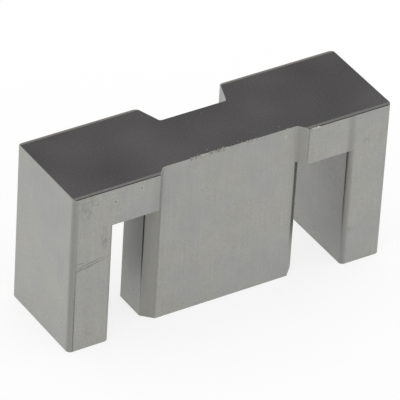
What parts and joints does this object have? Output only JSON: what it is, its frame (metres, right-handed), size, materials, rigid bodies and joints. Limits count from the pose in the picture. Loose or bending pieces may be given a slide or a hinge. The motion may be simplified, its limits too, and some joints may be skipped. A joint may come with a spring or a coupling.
{
  "type": "ferrite e core",
  "caption": "Economic flat E-shaped ferrite core half: a back joining rounded outer legs and a wide, flat, chamfered centre leg that takes a coil former.",
  "frame": {"origin": "in the mating plane of the legs, midway across the length and midway through the depth of the outer legs", "axes": "+X along the length across the legs, +Y from the front, where the centre leg is slightly set back, to the rear with the deep notch, +Z from the mating faces up to the back"},
  "size_m": [0.03, 0.0092, 0.015],
  "materials": {
    "core": "pressed and sintered manganese-zinc ferrite: dull dark back, burnished sides, ground mating faces"
  },
  "bodies": {
    "root": {"core": "core"}
  },
  "joints": []
}
